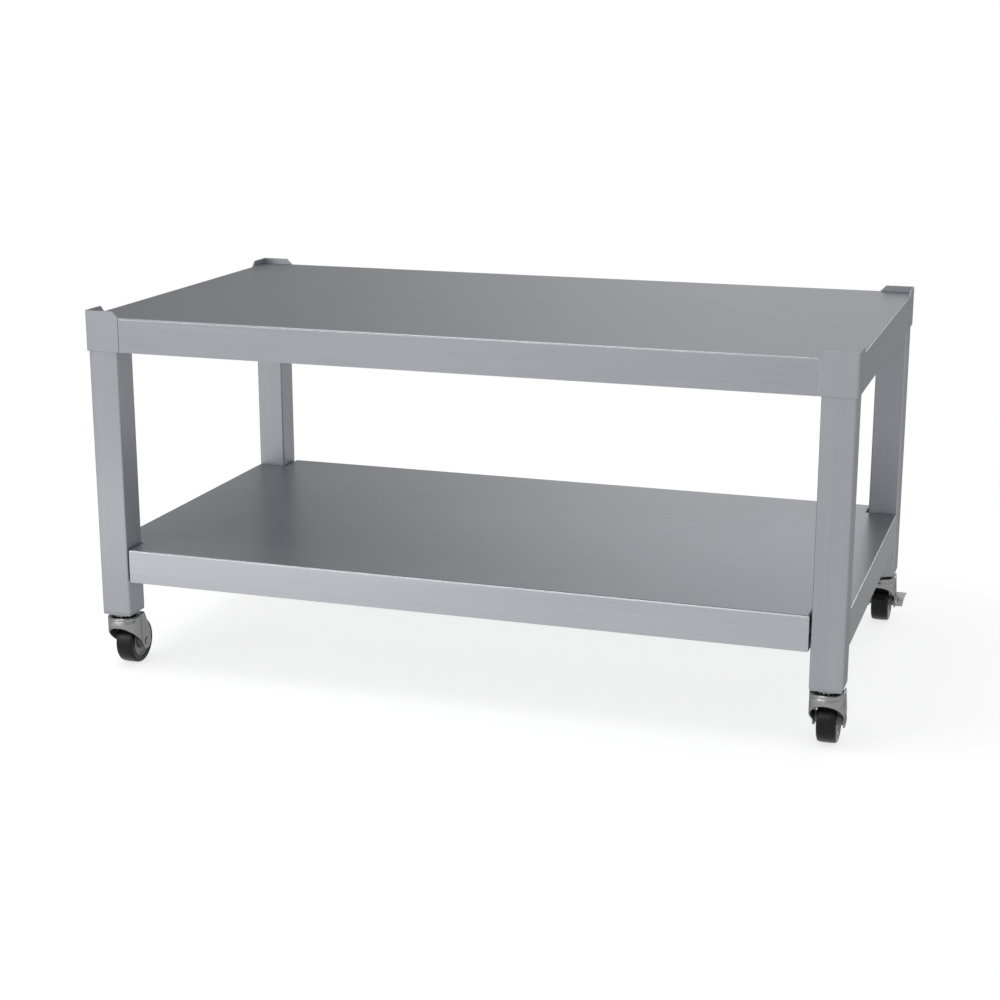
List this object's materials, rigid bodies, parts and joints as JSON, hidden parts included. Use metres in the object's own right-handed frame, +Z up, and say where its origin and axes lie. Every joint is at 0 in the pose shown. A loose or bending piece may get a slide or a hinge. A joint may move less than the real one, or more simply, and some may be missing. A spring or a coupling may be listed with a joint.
{
  "type": "kitchen equipment stand",
  "caption": "Low stainless steel equipment stand with a shelf below, raised corner guards, square legs and swivel casters with side brake levers.",
  "frame": {"origin": "on the floor under the middle of the whole outline, wheels trailing back", "axes": "+X to the right along the long side, +Y to the back, +Z up"},
  "size_m": [1.2496, 0.709, 0.6],
  "materials": {
    "shelf_sheet": "satin stainless sheet",
    "channel_sheet": "plain stainless sheet",
    "leg_tube": "satin stainless tube, brushed lengthwise",
    "guard_sheet": "satin stainless plate with bright cut edges",
    "foot_steel": "turned and bevelled steel",
    "zinc": "zinc-plated steel",
    "fork_zinc": "bright zinc-plated pressing",
    "ball_steel": "polished",
    "rivet_steel": "zinc-plated steel",
    "lever_steel": "zinc-plated pressing",
    "blind_nut_brass": "yellow-plated",
    "hub_plastic": "light grey moulded",
    "tyre_rubber": "black moulded rubber"
  },
  "bodies": {
    "stand": {"top_shelf": "shelf_sheet", "top_stiffener": "channel_sheet", "lower_shelf": "shelf_sheet", "lower_stiffener": "channel_sheet", "leg_front_left": "leg_tube", "leg_front_right": "leg_tube", "leg_back_left": "leg_tube", "leg_back_right": "leg_tube", "guard_front_left": "guard_sheet", "guard_front_right": "guard_sheet", "guard_back_left": "guard_sheet", "guard_back_right": "guard_sheet", "foot_front_left": "foot_steel", "foot_front_right": "foot_steel", "foot_back_left": "foot_steel", "foot_back_right": "foot_steel", "stem_front_left": "zinc", "stem_front_right": "zinc", "stem_back_left": "zinc", "stem_back_right": "zinc", "top_brackets": "channel_sheet", "top_studs": "zinc", "top_stud_nuts": "zinc", "shelf_bolts": "zinc", "shelf_spacers": "zinc", "blind_nuts": "blind_nut_brass", "kingpin_nuts": "zinc", "thrust_washers": "zinc"},
    "fork_front_left": {"fork_front_left": "fork_zinc", "balls_front_left": "ball_steel", "axle_front_left": "rivet_steel", "sleeve_front_left": "zinc"},
    "wheel_front_left": {"hub_front_left": "hub_plastic", "tyre_front_left": "tyre_rubber"},
    "fork_front_right": {"fork_front_right": "fork_zinc", "balls_front_right": "ball_steel", "axle_front_right": "rivet_steel", "sleeve_front_right": "zinc"},
    "wheel_front_right": {"hub_front_right": "hub_plastic", "tyre_front_right": "tyre_rubber"},
    "fork_back_left": {"fork_back_left": "fork_zinc", "balls_back_left": "ball_steel", "axle_back_left": "rivet_steel", "sleeve_back_left": "zinc"},
    "wheel_back_left": {"hub_back_left": "hub_plastic", "tyre_back_left": "tyre_rubber"},
    "fork_back_right": {"fork_back_right": "fork_zinc", "balls_back_right": "ball_steel", "axle_back_right": "rivet_steel", "sleeve_back_right": "zinc"},
    "wheel_back_right": {"hub_back_right": "hub_plastic", "tyre_back_right": "tyre_rubber"},
    "brake_left": {"brake_lever_left": "lever_steel"},
    "brake_right": {"brake_lever_right": "lever_steel"}
  },
  "joints": [
    {"name": "swivel_front_left", "type": "hinge", "parent": "stand", "child": "fork_front_left", "pos_m": [-0.581, -0.327, 0.09], "axis": [0, 0, 1], "continuous": true},
    {"name": "roll_front_left", "type": "hinge", "parent": "fork_front_left", "child": "wheel_front_left", "pos_m": [-0.581, -0.298, 0.0375], "axis": [1, 0, 0], "continuous": true},
    {"name": "swivel_front_right", "type": "hinge", "parent": "stand", "child": "fork_front_right", "pos_m": [0.581, -0.327, 0.09], "axis": [0, 0, 1], "continuous": true},
    {"name": "roll_front_right", "type": "hinge", "parent": "fork_front_right", "child": "wheel_front_right", "pos_m": [0.581, -0.298, 0.0375], "axis": [1, 0, 0], "continuous": true},
    {"name": "swivel_back_left", "type": "hinge", "parent": "stand", "child": "fork_back_left", "pos_m": [-0.581, 0.288, 0.09], "axis": [0, 0, 1], "continuous": true},
    {"name": "roll_back_left", "type": "hinge", "parent": "fork_back_left", "child": "wheel_back_left", "pos_m": [-0.581, 0.317, 0.0375], "axis": [1, 0, 0], "continuous": true},
    {"name": "swivel_back_right", "type": "hinge", "parent": "stand", "child": "fork_back_right", "pos_m": [0.581, 0.288, 0.09], "axis": [0, 0, 1], "continuous": true},
    {"name": "roll_back_right", "type": "hinge", "parent": "fork_back_right", "child": "wheel_back_right", "pos_m": [0.581, 0.317, 0.0375], "axis": [1, 0, 0], "continuous": true},
    {"name": "brake_left_press", "type": "hinge", "parent": "fork_back_left", "child": "brake_left", "pos_m": [-0.581, 0.317, 0.0375], "axis": [1, 0, 0], "range_deg": [0, 25]},
    {"name": "brake_right_press", "type": "hinge", "parent": "fork_back_right", "child": "brake_right", "pos_m": [0.581, 0.317, 0.0375], "axis": [1, 0, 0], "range_deg": [0, 25]}
  ]
}
